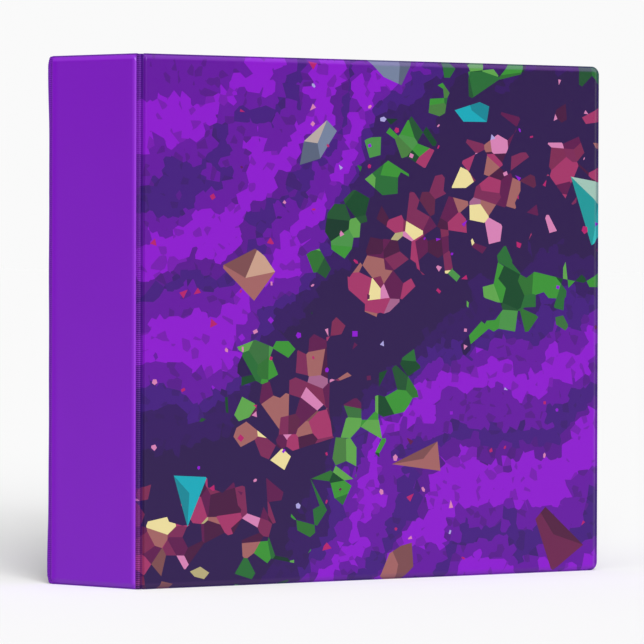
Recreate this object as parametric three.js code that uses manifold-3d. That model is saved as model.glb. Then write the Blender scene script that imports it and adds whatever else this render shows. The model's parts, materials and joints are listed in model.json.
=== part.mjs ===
// A three-ring binder that stands on its lower edges with its covers swung apart, as binders are stood up.
// Three boards are sealed between an outer wrap and an inner liner, which are welded together round each board.
// A ribbed weld strip is the hinge between the spine and each cover. A D-ring mechanism is riveted to the back
// cover: two blades under a sprung housing carry the ring halves, and a trigger at each end lifts the blades.
// Millimetres, +Z up. The spine's outer face looks along -Y and the front cover is on the +X side.

import * as THREE from 'three';
import { mergeVertices } from 'three/addons/utils/BufferGeometryUtils.js';
import Module from 'manifold-3d';

const wasm = await Module();
wasm.setup();

// Covers and spine
const HEIGHT = 296;
const COVER_WIDTH = 301; // from the spine's corner to the fore edge
const SPINE_WIDTH = 64; // across the outside of both hinges
const FRONT_SWING = THREE.MathUtils.degToRad(25); // away from square to the spine
const BACK_SWING = THREE.MathUtils.degToRad(10);

// Sheet materials
const BOARD_THICKNESS = 2.2;
const SKIN_THICKNESS = 0.55;
const BOARD_CLEARANCE = 0.15;
const WELD_GAP = 0.15; // between the two skins at their weld
const SHOULDER_WIDTH = 2.0; // how far the skin rounds off inwards over a board's edge
const SHOULDER_DROP = 1.2;
const SIDE_WALL = 0.7; // skin and slack between a board's edge and the pillow's outline
const PANEL_THICKNESS = BOARD_THICKNESS + 2 * (BOARD_CLEARANCE + SKIN_THICKNESS);

// Weld rims round each board
const RIM_WIDTH = 0.7;
const FORE_RIM_WIDTH = 1.5;
const RIM_THICKNESS = 1.0;
const SPINE_SIDE_RIM = 0.5;
const CORNER_RADIUS = 5;
const INNER_CORNER_RADIUS = 0.8;
const SPINE_CORNER_RADIUS = 0.8;

// Hinges
const HINGE_WIDTH = 2.4;
const HINGE_THICKNESS = 1.0;
const HINGE_END_GAP = 0.3;
const HINGE_TRIM = 0.2; // how much lower than the covers the strip ends, top and bottom
const HINGE_GROOVE_DEPTH = 0.25; // pressed into both faces beside the cover
const HINGE_GROOVE_WIDTH = 1.0;

// Inside pockets
const POCKET_THICKNESS = 0.5;
const POCKET_ROOM = 0.6;
const POCKET_SEAL = 3;
const POCKET_HEIGHT = 176;
const POCKET_EDGE = 9; // from a cover's fore and lower edges
const POCKET_CORNER_RADIUS = 3;
const POCKET_THUMB_DEPTH = 16;
const POCKET_THUMB_WIDTH = 74;
const FRONT_POCKET_START = 14;
const BACK_POCKET_START = 78;

// Ring mechanism
const RING_PITCH = 107.95; // the standard 4 1/4 inch
const HOUSING_FROM_HINGE = 48;
const HOUSING_OVERHANG = 6; // beyond the blades' ends
const HOUSING_WIDTH = 25;
const HOUSING_HEIGHT = 8.4;
const HOUSING_WALL = 0.9;
const HOUSING_WALL_HEIGHT = 3.9;
const HOUSING_STANDOFF = 0.3;
const HEM_TOP = 2.4; // of the rolled lower edges, on which the blades lie
const HEM_WIDTH = 1.4;
const RUNNING_GAP = 0.3; // between pieces of metal that move past each other
const PIN_GAP = 0.15;
const RIVET_GAP = 0.2;
const SLOT_LIFT = 1.6; // from a hem up to the slots for the rings' legs
const SLOT_ROOM = 0.9; // beside a leg, the way it swings
const SLOT_SIDE_ROOM = 0.4;
const SLOT_SHIFT = 0.4; // outwards, because an open ring's leg leans that way

const BLADE_OVERHANG = 10.05; // beyond the outer rings' middles
const BLADE_THICKNESS = 1.0;
const BLADE_TILT = THREE.MathUtils.degToRad(4.5); // each side of flat, down when the rings are shut
const BLADE_RIVET_ROOM = 1; // round a rivet, which the blades pass on both sides

const WIRE_RADIUS = 1.6;
const WIRE_SIDES = 10;
const STRAIGHT_STEPS = 22;
const BOWED_STEPS = 32;
const RING_FOOT = 7.5; // from the housing's middle to each foot
const RING_TOP = 46.5;
const LEG_BEND_RADIUS = 9.5;
const NECK_HEIGHT = 7.8;
const NECK_RADIUS = 5;
const NECK_TURN = THREE.MathUtils.degToRad(75);
const TIP_GAP = 0.3;
const PEG_RADIUS = 0.75;
const PEG_LENGTH = 1.3;
const PEG_TAPER = 0.6; // its end's radius over its root's
const PEG_ROOT = 1; // how far it starts inside the wire
const SOCKET_ROOM = 0.35;
const PEG_SIDES = 12;

const RIVET_FROM_MIDDLE = 66;
const RIVET_RADIUS = 2.4;
const RIVET_HEAD_RADIUS = 5;
const RIVET_HEAD_HEIGHT = 1.3;
const RIVET_BORE_RADIUS = 1.6;
const RIVET_BORE_DEPTH = 5;
const RIVET_DOME = [[0, 1], [0.4, 0.93], [0.75, 0.66], [0.95, 0.25], [1, 0]]; // of the head's radius and height
const RIVET_CURL = [[4, 0], [3.6, 0.7], [2.8, 1]]; // the rolled end's radius and height above the housing

const TRIGGER_WIDTH = 15;
const TRIGGER_THICKNESS = 1.4;
const TRIGGER_PIVOT_GAP = 3; // from the blades' ends to the pin
const TRIGGER_PIVOT_HEIGHT = 3.4;
const TRIGGER_TONGUE = 4.2;
const TRIGGER_PIN_RADIUS = 1.0;
const TRIGGER_BOSS_RADIUS = 1.9;
const TRIGGER_RISE = 22; // of the finger pad above its pin
const TRIGGER_REACH = 13;
const TRIGGER_ROOM = 0.7; // beside it in the housing's mouth
const TRIGGER_MOUTH_OVERLAP = 1; // how far that mouth reaches over the blades
const TONGUE_THICKNESS = 1;
const TONGUE_INSET = 3.2; // how much narrower than the pad it is, on each side
const TONGUE_RELIEF = 0.4; // how far the cut beside it reaches above its top
const HEEL = 1; // where the tongue turns up into the arm, before and behind the pin
const ELBOW_RISE = { inside: 2.4, outside: 1.2 }; // above the pin
const ARM_REACH = { inside: [0.22, 0.52, 0.6], outside: [0.45, 0.72, 0.8] }; // of REACH: elbow, neck, bend to the pad
const NECK_RISE = 0.7; // of TRIGGER_RISE

const BOARD_CORNER_RADIUS = 1;
const SHOULDER_SPARE = 0.3; // by which a raised corner's radius exceeds its shoulder
const ROUND_STEPS = 6; // facets in each rounded corner
const BIG = 1000; // past everything, for cutters

// Materials, one to each finish
const finish = (color, roughness, metalness = 0) => new THREE.MeshStandardMaterial({ color, roughness, metalness });
const materials = {
  spineWrap: finish(0x7a22b8, 0.4),
  coverWrap: finish(0x5a1f98, 0.4),
  hinge: finish(0x52178f, 0.45),
  liner: finish(0x6a21a6, 0.5),
  pocket: finish(0x7a35b4, 0.35),
  board: finish(0x9a8a72, 0.9),
  housing: finish(0xc3c6ca, 0.28, 1),
  blade: finish(0x9da1a6, 0.4, 1),
  ring: finish(0xcfd2d6, 0.2, 1),
  rivet: finish(0xb9bcc0, 0.3, 1),
  trigger: finish(0xc3c6ca, 0.25, 1),
};

// A closed three.js geometry as a solid that can be cut and joined.
function solid(geometry) {
  const bare = geometry.clone();
  bare.deleteAttribute('normal');
  bare.deleteAttribute('uv');
  const merged = mergeVertices(bare, 1e-4);
  return new wasm.Manifold(new wasm.Mesh({
    numProp: 3,
    vertProperties: merged.attributes.position.array,
    triVerts: new Uint32Array(merged.index.array),
  }));
}

// A named mesh from a solid.
function piece(name, shape, material) {
  const mesh = shape.getMesh();
  const geometry = new THREE.BufferGeometry();
  geometry.setAttribute('position', new THREE.BufferAttribute(new Float32Array(mesh.vertProperties), 3));
  geometry.setIndex(new THREE.BufferAttribute(new Uint32Array(mesh.triVerts), 1));
  const faceted = geometry.toNonIndexed();
  faceted.computeVertexNormals();
  const made = new THREE.Mesh(faceted, material);
  made.name = name;
  return made;
}

function box(x0, x1, y0, y1, z0, z1) {
  const geometry = new THREE.BoxGeometry(x1 - x0, y1 - y0, z1 - z0);
  return solid(geometry.translate((x0 + x1) / 2, (y0 + y1) / 2, (z0 + z1) / 2));
}

// A cylinder along 'x', 'y' or 'z' with the middle of its axis at a point.
function cylinder(axis, radius, length, x, y, z, sides = 24) {
  const geometry = new THREE.CylinderGeometry(radius, radius, length, sides);
  if (axis === 'x') geometry.rotateZ(Math.PI / 2);
  if (axis === 'z') geometry.rotateX(Math.PI / 2);
  return solid(geometry.translate(x, y, z));
}

// A rectangle in the plane of a panel, with its own radius at each corner.
function roundedOutline({ u0, u1, z0, z1 }, hingeRadius, foreRadius) {
  const outline = new THREE.Shape();
  const quarter = Math.PI / 2;
  outline.moveTo(u0 + hingeRadius, z0);
  outline.absarc(u1 - foreRadius, z0 + foreRadius, foreRadius, -quarter, 0);
  outline.absarc(u1 - foreRadius, z1 - foreRadius, foreRadius, 0, quarter);
  outline.absarc(u0 + hingeRadius, z1 - hingeRadius, hingeRadius, quarter, 2 * quarter);
  outline.absarc(u0 + hingeRadius, z0 + hingeRadius, hingeRadius, 2 * quarter, 3 * quarter);
  return outline;
}

function inset({ u0, u1, z0, z1 }, hinge, fore, ends) {
  return { u0: u0 + hinge, u1: u1 - fore, z0: z0 + ends, z1: z1 - ends };
}

// An outline in the panel's plane made thick, from y0 to y1, with square edges.
function plate(outline, y0, y1) {
  const geometry = new THREE.ExtrudeGeometry(outline, {
    depth: y1 - y0, bevelEnabled: false, curveSegments: ROUND_STEPS,
  });
  return solid(geometry.rotateX(Math.PI / 2).translate(0, y1, 0));
}

// The same with both faces' edges rounded off over the shoulder.
function pillow(outline, thickness) {
  const geometry = new THREE.ExtrudeGeometry(outline, {
    depth: thickness - 2 * SHOULDER_DROP, curveSegments: ROUND_STEPS, bevelSegments: 3,
    bevelThickness: SHOULDER_DROP, bevelSize: SHOULDER_WIDTH, bevelOffset: -SHOULDER_WIDTH,
  });
  return solid(geometry.rotateX(Math.PI / 2).translate(0, thickness / 2 - SHOULDER_DROP, 0));
}

// A board sealed between a wrap and a liner, in its own frame: u along X from the hinge, y through the panel
// with its middle at 0, z up. inward is +1 where the inside of the binder is towards +Y, otherwise -1.
function sealedPanel({ area, rims, hingeRadius, foreRadius, inward, holes = [] }) {
  const raised = inset(area, rims.hinge, rims.fore, rims.ends);
  const pocket = inset(raised, SIDE_WALL, SIDE_WALL, SIDE_WALL);
  const boardArea = inset(pocket, BOARD_CLEARANCE, BOARD_CLEARANCE, BOARD_CLEARANCE);
  const raisedHinge = Math.max(hingeRadius - rims.ends, SHOULDER_WIDTH + SHOULDER_SPARE);
  const raisedFore = Math.max(foreRadius - rims.ends, SHOULDER_WIDTH + SHOULDER_SPARE);
  const rim = plate(roundedOutline(area, hingeRadius, foreRadius), -RIM_THICKNESS / 2, RIM_THICKNESS / 2);
  const form = pillow(roundedOutline(raised, raisedHinge, raisedFore), PANEL_THICKNESS).add(rim);

  const halfRoom = BOARD_THICKNESS / 2 + BOARD_CLEARANCE;
  const corner = BOARD_CORNER_RADIUS;
  const room = plate(roundedOutline(pocket, corner, corner), -halfRoom, halfRoom);
  const outer = box(-BIG, BIG, -BIG, -WELD_GAP / 2, -BIG, BIG);
  const inner = box(-BIG, BIG, WELD_GAP / 2, BIG, -BIG, BIG);
  const skins = form.subtract(room);
  const board = plate(roundedOutline(boardArea, corner, corner), -BOARD_THICKNESS / 2, BOARD_THICKNESS / 2);
  const pierced = (shape) => holes.reduce((left, hole) => left.subtract(hole), shape);
  return {
    wrap: pierced(skins.intersect(inward > 0 ? outer : inner)),
    liner: pierced(skins.intersect(inward > 0 ? inner : outer)),
    board: pierced(board),
  };
}

// The hinge's weld strip, from its rounded end on the pivot line to the cover's rim, with a groove in both faces.
function hingeStrip() {
  const radius = HINGE_THICKNESS / 2;
  const end = HINGE_WIDTH - WELD_GAP;
  const waist = radius - HINGE_GROOVE_DEPTH;
  const section = new THREE.Shape();
  section.absarc(0, 0, radius, Math.PI / 2, 3 * Math.PI / 2);
  section.lineTo(end - HINGE_GROOVE_WIDTH, -radius);
  section.lineTo(end - HINGE_GROOVE_WIDTH / 2, -waist);
  section.lineTo(end, -radius);
  section.lineTo(end, radius);
  section.lineTo(end - HINGE_GROOVE_WIDTH / 2, waist);
  section.lineTo(end - HINGE_GROOVE_WIDTH, radius);
  const geometry = new THREE.ExtrudeGeometry(section, {
    depth: HEIGHT - 2 * HINGE_TRIM, bevelEnabled: false, curveSegments: 10,
  });
  return solid(geometry.translate(0, 0, HINGE_TRIM));
}

// A pocket sheet sealed to the liner along three sides, open along its top, with a thumb cut there.
function pocketSheet(start, inward) {
  const area = {
    u0: start, u1: COVER_WIDTH - POCKET_EDGE, z0: POCKET_EDGE, z1: POCKET_EDGE + POCKET_HEIGHT,
  };
  const base = PANEL_THICKNESS / 2 + BOARD_CLEARANCE;
  const face = base + POCKET_ROOM + POCKET_THICKNESS;
  const sheet = plate(roundedOutline(area, POCKET_CORNER_RADIUS, POCKET_CORNER_RADIUS), base, face);
  const room = inset(area, POCKET_SEAL, POCKET_SEAL, 0);
  const inside = box(room.u0, room.u1, 0, base + POCKET_ROOM, area.z0 + POCKET_SEAL, BIG);
  const middle = (area.u0 + area.u1) / 2;
  const cut = new THREE.Shape();
  cut.absellipse(middle, area.z1, POCKET_THUMB_WIDTH / 2, POCKET_THUMB_DEPTH, 0, 2 * Math.PI);
  const thumb = new THREE.ExtrudeGeometry(cut, { depth: 2 * face, bevelEnabled: false, curveSegments: 14 });
  const cutter = solid(thumb.rotateX(Math.PI / 2).translate(0, 2 * face, 0));
  const made = sheet.subtract(inside).subtract(cutter);
  return inward > 0 ? made : made.mirror([0, 1, 0]);
}

// The housing's section: an arched sheet with a rolled hem inside each lower edge.
function housingSection() {
  const half = HOUSING_WIDTH / 2;
  const wallTop = HOUSING_WALL_HEIGHT;
  const outer = new THREE.Shape();
  outer.moveTo(half, HOUSING_STANDOFF);
  outer.lineTo(half, wallTop);
  outer.absellipse(0, wallTop, half, HOUSING_HEIGHT - wallTop, 0, Math.PI);
  outer.lineTo(-half, HOUSING_STANDOFF);
  const hem = half - HOUSING_WALL - HEM_WIDTH;
  outer.lineTo(-hem, HOUSING_STANDOFF);
  outer.lineTo(-hem, HEM_TOP);
  outer.lineTo(HOUSING_WALL - half, HEM_TOP);
  outer.lineTo(HOUSING_WALL - half, wallTop);
  outer.absellipse(0, wallTop, half - HOUSING_WALL, HOUSING_HEIGHT - wallTop - HOUSING_WALL, Math.PI, 0, true);
  outer.lineTo(half - HOUSING_WALL, HEM_TOP);
  outer.lineTo(hem, HEM_TOP);
  outer.lineTo(hem, HOUSING_STANDOFF);
  return outer;
}

const ringStations = [-RING_PITCH, 0, RING_PITCH];
const bladeEnd = RING_PITCH + BLADE_OVERHANG; // from the mechanism's middle
const housingEnd = bladeEnd + HOUSING_OVERHANG;
const triggerPivotZ = bladeEnd + TRIGGER_PIVOT_GAP;
const bladeEdge = HOUSING_WIDTH / 2 - HOUSING_WALL - RUNNING_GAP; // the blades pivot on their outer edges
const bladePivotHeight = HEM_TOP + RUNNING_GAP + BLADE_THICKNESS / 2;

function housing() {
  const sheet = new THREE.ExtrudeGeometry(housingSection(), {
    depth: 2 * housingEnd, bevelEnabled: false, curveSegments: 12,
  });
  let made = solid(sheet.translate(0, 0, -housingEnd));
  const halfSlot = WIRE_RADIUS + SLOT_ROOM;
  const halfSlotWidth = WIRE_RADIUS + SLOT_SIDE_ROOM;
  for (const z of ringStations) {
    for (const side of [-1, 1]) {
      const x = side * (RING_FOOT + SLOT_SHIFT);
      const floor = HEM_TOP + SLOT_LIFT;
      made = made.subtract(box(x - halfSlot, x + halfSlot, floor, BIG, z - halfSlotWidth, z + halfSlotWidth));
    }
  }
  for (const end of [-1, 1]) {
    const mouthStart = bladeEnd - TRIGGER_MOUTH_OVERLAP;
    const z0 = end > 0 ? mouthStart : -BIG;
    const z1 = end > 0 ? BIG : -mouthStart;
    const mouth = TRIGGER_WIDTH / 2 + TRIGGER_ROOM;
    made = made.subtract(box(-mouth, mouth, HEM_TOP, BIG, z0, z1));
    made = made.subtract(cylinder('x', TRIGGER_PIN_RADIUS + PIN_GAP, 2 * HOUSING_WIDTH,
      0, TRIGGER_PIVOT_HEIGHT, end * triggerPivotZ));
    made = made.subtract(cylinder('y', RIVET_RADIUS + RIVET_GAP, 4 * HOUSING_HEIGHT, 0, 0, end * RIVET_FROM_MIDDLE));
  }
  return made;
}

// One blade, on the side of the housing given by side. Shut, its free edge is tilted towards the cover.
function blade(side) {
  const width = bladeEdge - RUNNING_GAP / 2;
  const strip = new THREE.BoxGeometry(width, BLADE_THICKNESS, 2 * bladeEnd);
  strip.translate(-side * width / 2, 0, 0);
  strip.rotateZ(side * BLADE_TILT);
  let made = solid(strip.translate(side * bladeEdge, bladePivotHeight, 0));
  for (const z of ringStations) {
    made = made.subtract(cylinder('y', WIRE_RADIUS + RUNNING_GAP, HOUSING_WIDTH, side * RING_FOOT, 0, z));
  }
  for (const end of [-1, 1]) {
    made = made.subtract(cylinder('y', RIVET_RADIUS + BLADE_RIVET_ROOM, HOUSING_WIDTH, 0, 0, end * RIVET_FROM_MIDDLE));
  }
  return made;
}

// A curve in the plane of a ring, from a flat path of lines and arcs.
class RingLine extends THREE.Curve {
  constructor(flat) {
    super();
    this.flat = flat;
  }

  getPoint(t, target = new THREE.Vector3()) {
    const at = this.flat.getPointAt(t);
    return target.set(at.x, at.y, 0);
  }
}

function wireAlong(flat, steps) {
  const section = new THREE.Shape();
  section.absarc(0, 0, WIRE_RADIUS, 0, 2 * Math.PI);
  const outline = new THREE.Shape(section.getPoints(WIRE_SIDES).slice(0, WIRE_SIDES));
  return solid(new THREE.ExtrudeGeometry(outline, {
    steps, extrudePath: new RingLine(flat), bevelEnabled: false,
  }));
}

const footHeight = bladePivotHeight - BLADE_THICKNESS;
const tipX = RING_FOOT - LEG_BEND_RADIUS;

// The straight half of a ring, which holds the sheets' holes in line, with a peg at its tip.
function straightHalf() {
  const line = new THREE.Path();
  line.moveTo(RING_FOOT, footHeight);
  line.lineTo(RING_FOOT, RING_TOP - LEG_BEND_RADIUS);
  line.absarc(tipX, RING_TOP - LEG_BEND_RADIUS, LEG_BEND_RADIUS, 0, Math.PI / 2);
  const peg = new THREE.CylinderGeometry(PEG_RADIUS, PEG_TAPER * PEG_RADIUS, PEG_LENGTH + PEG_ROOT, PEG_SIDES);
  peg.rotateZ(-Math.PI / 2).translate(tipX - (PEG_LENGTH - PEG_ROOT) / 2, RING_TOP, 0);
  return wireAlong(line, STRAIGHT_STEPS).add(solid(peg));
}

// The bowed half, which bulges towards the spine, with a socket for the peg.
function bowedHalf() {
  const neckX = -RING_FOOT - NECK_RADIUS;
  const startX = neckX + NECK_RADIUS * Math.cos(NECK_TURN);
  const startY = NECK_HEIGHT + NECK_RADIUS * Math.sin(NECK_TURN);
  const bow = (RING_TOP - startY) / (1 + Math.sin(NECK_TURN)); // the one radius that reaches the ring's top
  const centreX = startX + bow * Math.cos(NECK_TURN);
  const line = new THREE.Path();
  line.moveTo(-RING_FOOT, footHeight);
  line.lineTo(-RING_FOOT, NECK_HEIGHT);
  line.absarc(neckX, NECK_HEIGHT, NECK_RADIUS, 0, NECK_TURN);
  line.absarc(centreX, RING_TOP - bow, bow, Math.PI + NECK_TURN, Math.PI / 2, true);
  line.lineTo(tipX - TIP_GAP, RING_TOP);
  const depth = PEG_LENGTH + TIP_GAP;
  const socket = cylinder('x', PEG_RADIUS + SOCKET_ROOM, 2 * depth, tipX - TIP_GAP, RING_TOP, 0, PEG_SIDES);
  return wireAlong(line, BOWED_STEPS).subtract(socket);
}

// A trigger: a bent plate that turns on a pin, with a tongue under the blades and a pad for a finger.
function trigger(end) {
  const radius = TRIGGER_THICKNESS / 2;
  const tongueTop = TRIGGER_PIVOT_HEIGHT - TRIGGER_BOSS_RADIUS;
  const [elbow, neck, bend] = ARM_REACH.outside.map((share) => share * TRIGGER_REACH);
  const [innerElbow, innerNeck, innerBend] = ARM_REACH.inside.map((share) => share * TRIGGER_REACH);
  const neckHeight = NECK_RISE * TRIGGER_RISE;
  const side = new THREE.Shape();
  side.moveTo(-TRIGGER_TONGUE, tongueTop - TONGUE_THICKNESS);
  side.lineTo(HEEL, tongueTop - TONGUE_THICKNESS);
  side.lineTo(elbow, TRIGGER_PIVOT_HEIGHT + ELBOW_RISE.outside);
  side.lineTo(neck, neckHeight);
  side.quadraticCurveTo(bend, TRIGGER_RISE, TRIGGER_REACH + radius, TRIGGER_RISE + radius);
  side.lineTo(TRIGGER_REACH, TRIGGER_RISE + 3 * radius);
  side.quadraticCurveTo(innerBend, TRIGGER_RISE + radius, innerNeck, neckHeight);
  side.lineTo(innerElbow, TRIGGER_PIVOT_HEIGHT + ELBOW_RISE.inside);
  side.lineTo(-HEEL, tongueTop);
  side.lineTo(-TRIGGER_TONGUE, tongueTop);
  const width = TRIGGER_WIDTH;
  const body = new THREE.ExtrudeGeometry(side, { depth: width, bevelEnabled: false, curveSegments: 8 });
  body.translate(0, 0, -width / 2).rotateY(-Math.PI / 2);
  let made = solid(body.translate(0, 0, triggerPivotZ));
  made = made.add(cylinder('x', TRIGGER_BOSS_RADIUS, width, 0, TRIGGER_PIVOT_HEIGHT, triggerPivotZ));
  made = made.subtract(cylinder('x', TRIGGER_PIN_RADIUS + PIN_GAP, 2 * width, 0, TRIGGER_PIVOT_HEIGHT, triggerPivotZ));
  const tongueSide = width / 2 - TONGUE_INSET;
  for (const hand of [-1, 1]) {
    const x0 = hand > 0 ? tongueSide : -BIG;
    const x1 = hand > 0 ? BIG : -tongueSide;
    made = made.subtract(box(x0, x1, -BIG, tongueTop + TONGUE_RELIEF, 0, triggerPivotZ - TRIGGER_BOSS_RADIUS));
  }
  return end > 0 ? made : made.mirror([0, 0, 1]);
}

// A semi-tubular rivet through the back cover and the housing: a domed head outside, a rolled end inside.
function rivet(z) {
  const low = -PANEL_THICKNESS - RUNNING_GAP / 2;
  const high = HOUSING_HEIGHT + RUNNING_GAP / 2;
  const profile = [
    ...RIVET_DOME.map(([radius, height]) => [radius * RIVET_HEAD_RADIUS, low - height * RIVET_HEAD_HEIGHT]),
    [RIVET_RADIUS, low],
    [RIVET_RADIUS, high],
    ...RIVET_CURL.map(([radius, height]) => [radius, high + height]),
    [RIVET_BORE_RADIUS, high + RIVET_CURL.at(-1)[1]],
    [RIVET_BORE_RADIUS, high - RIVET_BORE_DEPTH],
    [0, high - RIVET_BORE_DEPTH],
  ].map(([radius, y]) => new THREE.Vector2(radius, y));
  return solid(new THREE.LatheGeometry(profile, 20).translate(0, 0, z));
}

// Assembly
const binder = new THREE.Group();
const pivotX = SPINE_WIDTH / 2 - HINGE_THICKNESS / 2;
const spineHalf = pivotX - HINGE_THICKNESS / 2 - HINGE_END_GAP;

const spine = new THREE.Group();
const spineParts = sealedPanel({
  area: { u0: -spineHalf, u1: spineHalf, z0: 0, z1: HEIGHT },
  rims: { hinge: SPINE_SIDE_RIM, fore: SPINE_SIDE_RIM, ends: RIM_WIDTH },
  hingeRadius: SPINE_CORNER_RADIUS, foreRadius: SPINE_CORNER_RADIUS, inward: 1,
});
spine.add(piece('spine_wrap', spineParts.wrap, materials.spineWrap));
spine.add(piece('spine_board', spineParts.board, materials.board));
spine.add(piece('spine_liner', spineParts.liner, materials.liner));
binder.add(spine);

const coverArea = { u0: HINGE_WIDTH, u1: COVER_WIDTH, z0: 0, z1: HEIGHT };
const coverRims = { hinge: RIM_WIDTH, fore: FORE_RIM_WIDTH, ends: RIM_WIDTH };

function cover(name, pocketStart, inward, holes) {
  const group = new THREE.Group();
  const parts = sealedPanel({
    area: coverArea, rims: coverRims, hingeRadius: INNER_CORNER_RADIUS, foreRadius: CORNER_RADIUS, inward, holes,
  });
  group.add(piece(name + '_hinge', hingeStrip(), materials.hinge));
  group.add(piece(name + '_wrap', parts.wrap, materials.coverWrap));
  group.add(piece(name + '_board', parts.board, materials.board));
  group.add(piece(name + '_liner', parts.liner, materials.liner));
  group.add(piece(name + '_pocket', pocketSheet(pocketStart, inward), materials.pocket));
  return group;
}

const rivetHoles = [-1, 1].map((end) => cylinder('y', RIVET_RADIUS + RIVET_GAP, 4 * PANEL_THICKNESS,
  HOUSING_FROM_HINGE, 0, HEIGHT / 2 + end * RIVET_FROM_MIDDLE));

const frontCover = cover('front', FRONT_POCKET_START, 1, []);
frontCover.position.set(pivotX, 0, 0);
frontCover.rotation.z = Math.PI / 2 - FRONT_SWING;
binder.add(frontCover);

const backCover = cover('back', BACK_POCKET_START, -1, rivetHoles);
backCover.position.set(-pivotX, 0, 0);
backCover.rotation.z = Math.PI / 2 + BACK_SWING;
binder.add(backCover);

// The mechanism's own frame lies on the back liner: x away from the spine, y into the binder.
const mechanism = new THREE.Group();
mechanism.position.set(HOUSING_FROM_HINGE, -PANEL_THICKNESS / 2, HEIGHT / 2);
mechanism.rotation.x = Math.PI;
backCover.add(mechanism);

mechanism.add(piece('ring_housing', housing(), materials.housing));
mechanism.add(piece('straight_blade', blade(1), materials.blade));
mechanism.add(piece('bowed_blade', blade(-1), materials.blade));
const places = ['upper', 'middle', 'lower'];
ringStations.forEach((z, index) => {
  const straight = piece(places[index] + '_ring_straight_half', straightHalf(), materials.ring);
  const bowed = piece(places[index] + '_ring_bowed_half', bowedHalf(), materials.ring);
  straight.position.z = z;
  bowed.position.z = z;
  mechanism.add(straight, bowed);
});
[['upper', -1], ['lower', 1]].forEach(([place, end]) => {
  const pin = cylinder('x', TRIGGER_PIN_RADIUS, HOUSING_WIDTH, 0, TRIGGER_PIVOT_HEIGHT, end * triggerPivotZ, 16);
  mechanism.add(piece(place + '_rivet', rivet(end * RIVET_FROM_MIDDLE), materials.rivet));
  mechanism.add(piece(place + '_trigger', trigger(end), materials.trigger));
  mechanism.add(piece(place + '_trigger_pin', pin, materials.rivet));
});

// The origin is the middle of the binder's footprint, on the surface that it stands on.
const footprint = new THREE.Box3().setFromObject(binder, true).getCenter(new THREE.Vector3());
binder.position.set(-footprint.x, -footprint.y, 0);

export default binder;
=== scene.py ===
import json
import math

import bmesh
import bpy
import numpy as np
from mathutils import Matrix, Vector

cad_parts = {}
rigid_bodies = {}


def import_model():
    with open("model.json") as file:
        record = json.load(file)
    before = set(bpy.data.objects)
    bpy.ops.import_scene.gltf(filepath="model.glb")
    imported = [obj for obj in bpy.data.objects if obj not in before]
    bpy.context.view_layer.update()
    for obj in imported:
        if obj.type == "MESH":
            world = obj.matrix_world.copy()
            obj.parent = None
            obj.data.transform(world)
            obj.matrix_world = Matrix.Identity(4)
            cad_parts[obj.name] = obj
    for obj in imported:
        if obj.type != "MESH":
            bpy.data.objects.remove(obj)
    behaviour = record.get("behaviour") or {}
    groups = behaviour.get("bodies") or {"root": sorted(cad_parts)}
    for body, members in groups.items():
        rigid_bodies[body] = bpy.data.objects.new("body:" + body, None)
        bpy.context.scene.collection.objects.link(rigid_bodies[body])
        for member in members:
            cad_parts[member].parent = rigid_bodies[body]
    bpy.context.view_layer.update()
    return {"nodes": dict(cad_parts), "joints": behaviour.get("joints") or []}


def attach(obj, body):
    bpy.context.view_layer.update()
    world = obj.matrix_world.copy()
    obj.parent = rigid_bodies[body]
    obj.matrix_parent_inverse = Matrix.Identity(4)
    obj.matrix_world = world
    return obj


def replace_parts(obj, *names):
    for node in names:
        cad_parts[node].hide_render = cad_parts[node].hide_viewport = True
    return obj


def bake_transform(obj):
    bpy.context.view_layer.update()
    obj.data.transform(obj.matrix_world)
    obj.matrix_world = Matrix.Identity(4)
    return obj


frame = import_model()
nodes = frame["nodes"]
joints = {joint["name"]: joint for joint in frame["joints"]}

MM = 0.001

# Covers and spine, as in the part's source
HEIGHT = 296 * MM
COVER_WIDTH = 301 * MM
FRONT_SWING = math.radians(25)
BACK_SWING = math.radians(10)
HALF_THICKNESS = 1.8 * MM
BOARD_ROOM = 1.25 * MM  # from a panel's middle to the inside of its skins
WELD_GAP = 0.08 * MM
RAISED_RADIUS = 3.6 * MM
RIM_HALF = 0.5 * MM
RIM_WIDTH = 0.7 * MM
FORE_RIM_WIDTH = 1.5 * MM
HINGE_RIM_WIDTH = 0.15 * MM
SPINE_SIDE_RIM = 0.5 * MM
SPINE_HALF = 30.7 * MM
CORNER_RADIUS = 5 * MM
INNER_CORNER_RADIUS = 0.8 * MM
SPINE_CORNER_RADIUS = 0.8 * MM
HINGE_WIDTH = 2.4 * MM
HINGE_TRIM = 0.2 * MM

# The skins over the boards
SHOULDER_WIDTH = 2.6 * MM
SHOULDER_POWER = 1.6  # 1 would make it a straight chamfer
SPINE_END_POWER = 1.25
HINGE_SIDE_STEEP = 2.6  # how much shorter the cover's shoulder is beside its hinge
SPINE_SIDE_STEEP = 1.7
SKIN_THICKNESS = 0.5 * MM
BOARD_HALF = 1.1 * MM
BOARD_INSET = 0.65 * MM  # from the raised form's outline to the board
CRUSHED_EDGE = 0.35 * MM
RIM_EDGE_RADIUS = 0.18 * MM
RIM_EDGE_SHARE = 0.6  # of the rim's height, left at its very edge
WELD_GROOVE_DEPTH = 0.12 * MM
WELD_GROOVE_REACH = 0.2 * MM
UNWELDED_REACH = 3 * MM  # from a side whose rim is too narrow for a weld groove
SIDE_BLEND = 2 * MM
RIPPLE_HEIGHT = 0.09 * MM
RIPPLE_LENGTH = 90 * MM
RIPPLE_START = 3 * MM
RIPPLE_RUN = 14 * MM
SKIN_STEP = 5 * MM
BOARD_STEP = 9 * MM

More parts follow.
